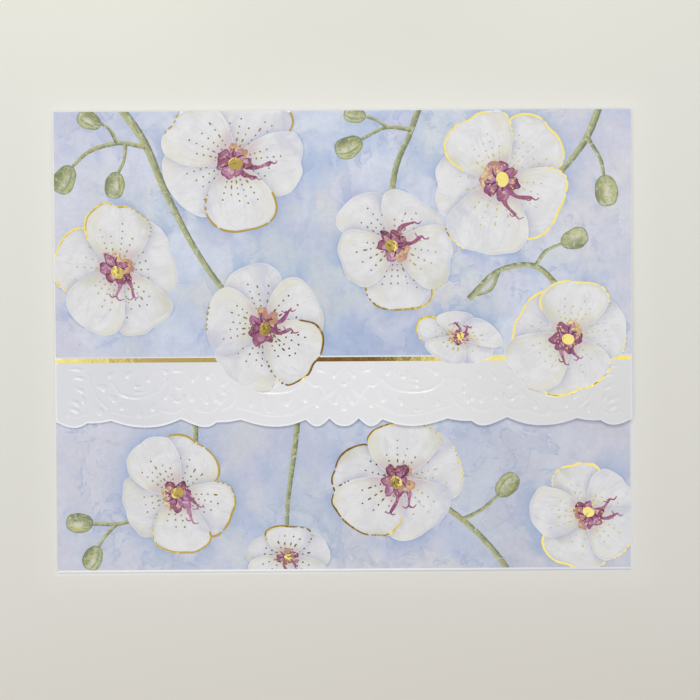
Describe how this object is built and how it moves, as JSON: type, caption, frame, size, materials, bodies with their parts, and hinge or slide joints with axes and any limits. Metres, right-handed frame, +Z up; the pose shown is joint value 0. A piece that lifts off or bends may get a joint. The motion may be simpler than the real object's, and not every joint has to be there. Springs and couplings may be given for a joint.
{
  "type": "greeting card",
  "caption": "Folded landscape greeting card: a short front flap with a scalloped, embossed and foil-stamped edge over a longer printed back panel.",
  "frame": {"origin": "centre of the bottom of the card's box, on the surface that it lies on", "axes": "+X along the fold, +Y from the back panel's free edge towards the fold, +Z up out of the front flap"},
  "size_m": [0.127, 0.1016, 0.0014],
  "materials": {
    "printed_card": "satin coated card, pale blue wash print with embossing and gold foil"
  },
  "bodies": {
    "root": {"folded_card": "printed_card"}
  },
  "joints": []
}
